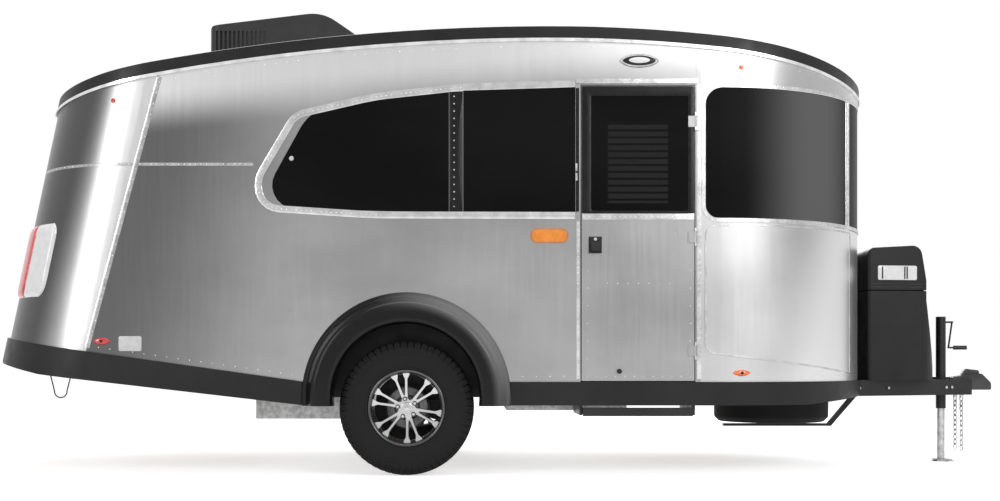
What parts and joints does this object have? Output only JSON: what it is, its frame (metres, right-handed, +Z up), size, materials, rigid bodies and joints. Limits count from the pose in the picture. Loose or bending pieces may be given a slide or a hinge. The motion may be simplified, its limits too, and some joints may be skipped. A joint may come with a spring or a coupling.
{
  "type": "travel caravan",
  "caption": "Single-axle aluminium travel caravan with a raised rear, wrap-round dark windows, entry door, rear hatch, gas locker and tongue jack.",
  "frame": {"origin": "on the ground, at the middle of the caravan's overall length and width", "axes": "+X forward, from the rear bumper to the tow coupler; +Y to the left, away from the entry door; +Z up"},
  "size_m": [5.9842, 2.321, 2.725],
  "materials": {
    "chassis": "semi-gloss black chassis paint",
    "zinc": "zinc plate",
    "galvanised": "galvanised sheet",
    "skin": "clear-coated riveted aluminium sheet",
    "bright_skin": "polished aluminium sheet",
    "roof": "aluminium sheet",
    "moulding": "black moulded plastic",
    "trim": "bright aluminium extrusion",
    "dark_glass": "dark privacy glass",
    "cooler": "black moulded plastic",
    "marker_lens": "orange lamp lens",
    "tail_lens": "red lamp lens",
    "badge": "plain orange enamel",
    "white_plastic": "white plastic",
    "bottle_paint": "white enamel",
    "floor": "sealed plywood",
    "handle": "black plastic",
    "tyre": "black rubber",
    "alloy": "machined alloy"
  },
  "bodies": {
    "trailer": {"chassis_rails": "chassis", "tow_frame": "chassis", "coupler": "chassis", "jack_post": "chassis", "jack_leg": "zinc", "jack_crank": "chassis", "safety_chains": "zinc", "axle_beam": "chassis", "trailing_arms": "chassis", "stabilisers": "chassis", "under_tanks": "galvanised", "wire_hoop": "chassis", "spare_wheel": "tyre", "spare_carrier": "chassis", "floor_panel": "floor", "door_side_wall": "skin", "far_side_wall": "skin", "rear_wall": "skin", "nose_wall": "skin", "roof_panel": "roof", "roof_edge": "moulding", "gutter_rail": "trim", "side_sills": "moulding", "rear_bumper": "moulding", "wheel_flares": "moulding", "wheel_boxes": "moulding", "window_trim": "trim", "side_glass": "dark_glass", "nose_glass": "dark_glass", "stone_guards": "bright_skin", "roof_cooler": "cooler", "marker_lamps": "marker_lens", "tail_lamps": "tail_lens", "porch_lamp": "trim", "side_badge": "badge", "rear_grab": "white_plastic", "hinge_knuckles": "trim", "step_rails": "chassis", "gas_locker": "moulding", "gas_bottles": "bottle_paint"},
    "wheel_right": {"tyre_right": "tyre", "rim_right": "alloy"},
    "wheel_left": {"tyre_left": "tyre", "rim_left": "alloy"},
    "door": {"entry_door": "skin", "door_glass": "dark_glass", "door_handle": "handle"},
    "hatch": {"rear_hatch": "skin", "hatch_glass": "dark_glass"},
    "lid": {"locker_lid": "moulding", "lid_lamp": "white_plastic"},
    "step": {"entry_step": "chassis"}
  },
  "joints": [
    {"name": "wheel_right_spin", "type": "hinge", "parent": "trailer", "child": "wheel_right", "pos_m": [-0.627, -0.9655, 0.37], "axis": [0, 1, 0], "continuous": true},
    {"name": "wheel_left_spin", "type": "hinge", "parent": "trailer", "child": "wheel_left", "pos_m": [-0.627, 0.9655, 0.37], "axis": [0, 1, 0], "continuous": true},
    {"name": "door_hinge", "type": "hinge", "parent": "trailer", "child": "door", "pos_m": [0.95, -1.079, 1.313], "axis": [0, 0, 1], "range_deg": [0, 150]},
    {"name": "hatch_hinge", "type": "hinge", "parent": "trailer", "child": "hatch", "pos_m": [-2.72276, 0, 1.9318], "axis": [0, 1, 0], "range_deg": [0, 90]},
    {"name": "lid_hinge", "type": "hinge", "parent": "trailer", "child": "lid", "pos_m": [2.485, 0, 1.052], "axis": [0, 1, 0], "range_deg": [0, 80]},
    {"name": "step_slide", "type": "slide", "parent": "trailer", "child": "step", "axis": [0, -1, 0], "range_m": [0, 0.24]}
  ]
}
